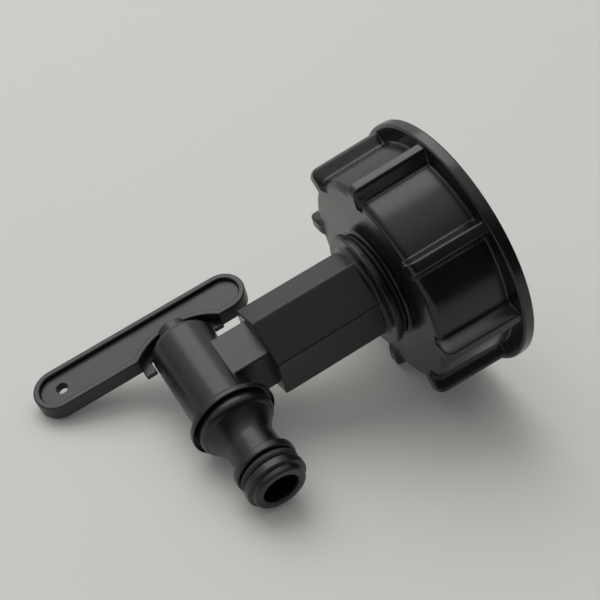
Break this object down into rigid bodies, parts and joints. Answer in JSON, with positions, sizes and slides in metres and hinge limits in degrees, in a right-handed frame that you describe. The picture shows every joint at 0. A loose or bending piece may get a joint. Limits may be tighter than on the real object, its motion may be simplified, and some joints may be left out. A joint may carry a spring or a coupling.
{
  "type": "tap adapter for a bulk container outlet",
  "caption": "Ribbed screw cap for a bulk liquid container outlet carrying a quarter turn lever tap with a click-on hose nozzle.",
  "frame": {"origin": "centre of the cap's open rim", "axes": "+Z along the cap's axis towards the tap, +X along the nozzle, +Y to the side the lever swings to"},
  "size_m": [0.0799, 0.0788, 0.1265],
  "materials": {
    "cap_plastic": "satin black moulding",
    "tap_plastic": "satin black moulding",
    "lever_plastic": "satin black moulding",
    "nozzle_plastic": "satin black moulding",
    "plug_plastic": "smooth black moulding",
    "seal_rubber": "matt black rubber"
  },
  "bodies": {
    "adapter": {"threaded_cap": "cap_plastic", "cap_gasket": "seal_rubber", "tap_washer": "seal_rubber", "backnut": "tap_plastic", "tap_body": "tap_plastic", "nozzle": "nozzle_plastic", "nozzle_seal": "seal_rubber", "hose_ring": "seal_rubber"},
    "lever_and_plug": {"lever": "lever_plastic", "valve_plug": "plug_plastic", "plug_seal_back": "seal_rubber", "plug_seal_front": "seal_rubber"}
  },
  "joints": [
    {"name": "lever_turn", "type": "hinge", "parent": "adapter", "child": "lever_and_plug", "pos_m": [-0.018, 0, 0.0828], "axis": [-1, 0, 0], "range_deg": [0, 90]}
  ]
}
